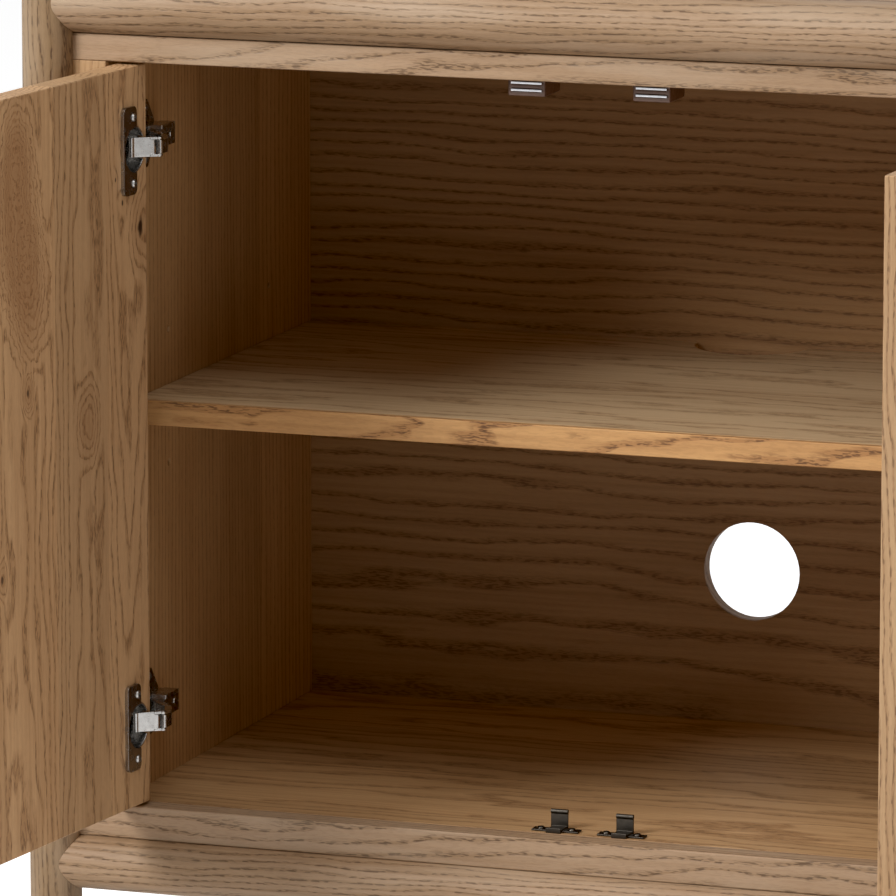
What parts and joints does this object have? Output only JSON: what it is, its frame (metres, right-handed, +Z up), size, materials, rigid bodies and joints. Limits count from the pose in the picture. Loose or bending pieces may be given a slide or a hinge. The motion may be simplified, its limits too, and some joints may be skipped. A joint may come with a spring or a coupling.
{
  "type": "media_cabinet",
  "caption": "Media cabinet in weathered oak with round corner posts, bullnose rails, inset doors on concealed cup hinges, a shelf with a cable notch and a round cable port in the back.",
  "frame": {"origin": "on the floor, at the middle of the rest pose's bounding box: the middle of the cabinet's width, and half way from the tips of the open doors to the back", "axes": "+X to the right seen from the front, +Y from the front to the back, +Z up; the open doors point towards -Y"},
  "size_m": [0.844, 0.7761, 0.8161],
  "materials": {
    "weathered_oak": "whitewashed, open pores",
    "oak_veneer": "brown stained oak veneer, satin",
    "oak_lipping": "solid oak, satin",
    "plain_wood": "plain",
    "nickel_plate": "nickel plated",
    "bright_steel": "zinc plated",
    "brown_plastic": "moulded",
    "black_steel": "blackened",
    "nylon": "moulded",
    "ferrite": "sintered"
  },
  "bodies": {
    "carcass": {"left_front_post": "weathered_oak", "right_front_post": "weathered_oak", "left_rear_post": "weathered_oak", "right_rear_post": "weathered_oak", "front_top_rail": "weathered_oak", "rear_top_rail": "weathered_oak", "left_top_rail": "weathered_oak", "right_top_rail": "weathered_oak", "front_bottom_rail": "weathered_oak", "rear_bottom_rail": "weathered_oak", "left_bottom_rail": "weathered_oak", "right_bottom_rail": "weathered_oak", "front_top_flat": "weathered_oak", "left_top_flat": "weathered_oak", "right_top_flat": "weathered_oak", "front_bottom_flat": "weathered_oak", "left_bottom_flat": "weathered_oak", "right_bottom_flat": "weathered_oak", "top_panel": "weathered_oak", "left_side_panel": "oak_veneer", "right_side_panel": "oak_veneer", "ceiling_panel": "oak_veneer", "bottom_panel": "oak_veneer", "back_panel": "oak_veneer", "shelf": "oak_veneer", "shelf_nosing": "oak_lipping", "top_bearers": "plain_wood", "rail_dowels": "plain_wood", "deck_dowels": "plain_wood", "hinge_arms": "nickel_plate", "mounting_plates": "nickel_plate", "adjusting_screws": "nickel_plate", "hinge_pins": "bright_steel", "hardware_screws": "bright_steel", "back_screws": "bright_steel", "shelf_wires": "bright_steel", "catch_poles": "bright_steel", "catch_housings": "brown_plastic", "stop_clips": "black_steel", "leg_glides": "nylon", "catch_magnets": "ferrite"},
    "left_leaf": {"left_door": "oak_veneer", "left_hinge_cups": "nickel_plate", "left_cup_screws": "bright_steel", "left_knob": "oak_lipping", "left_knob_screw": "bright_steel", "left_strike_plate": "bright_steel"},
    "right_leaf": {"right_door": "oak_veneer", "right_hinge_cups": "nickel_plate", "right_cup_screws": "bright_steel", "right_knob": "oak_lipping", "right_knob_screw": "bright_steel", "right_strike_plate": "bright_steel"},
    "left_links": {"left_outer_links": "nickel_plate", "left_inner_links": "nickel_plate"},
    "right_links": {"right_outer_links": "nickel_plate", "right_inner_links": "nickel_plate"}
  },
  "joints": [
    {"name": "left_door_hinge", "type": "hinge", "parent": "carcass", "child": "left_leaf", "pos_m": [-0.3475, -0.0431, 0.4735], "axis": [0, 0, 1], "range_deg": [-2.2, 96.3]},
    {"name": "right_door_hinge", "type": "hinge", "parent": "carcass", "child": "right_leaf", "pos_m": [0.3475, -0.0431, 0.4735], "axis": [0, 0, -1], "range_deg": [-10.5, 88]},
    {"name": "left_link_pivot", "type": "hinge", "parent": "carcass", "child": "left_links", "pos_m": [-0.3233, -0.0351, 0.4735], "axis": [0, 0, -1], "range_deg": [-0.84, 36.59]},
    {"name": "right_link_pivot", "type": "hinge", "parent": "carcass", "child": "right_links", "pos_m": [0.3233, -0.0351, 0.4735], "axis": [0, 0, 1], "range_deg": [-3.99, 33.44]}
  ],
  "couplings": [
    {"joint": "left_link_pivot", "follows": "left_door_hinge", "ratio": 0.38},
    {"joint": "right_link_pivot", "follows": "right_door_hinge", "ratio": 0.38}
  ]
}
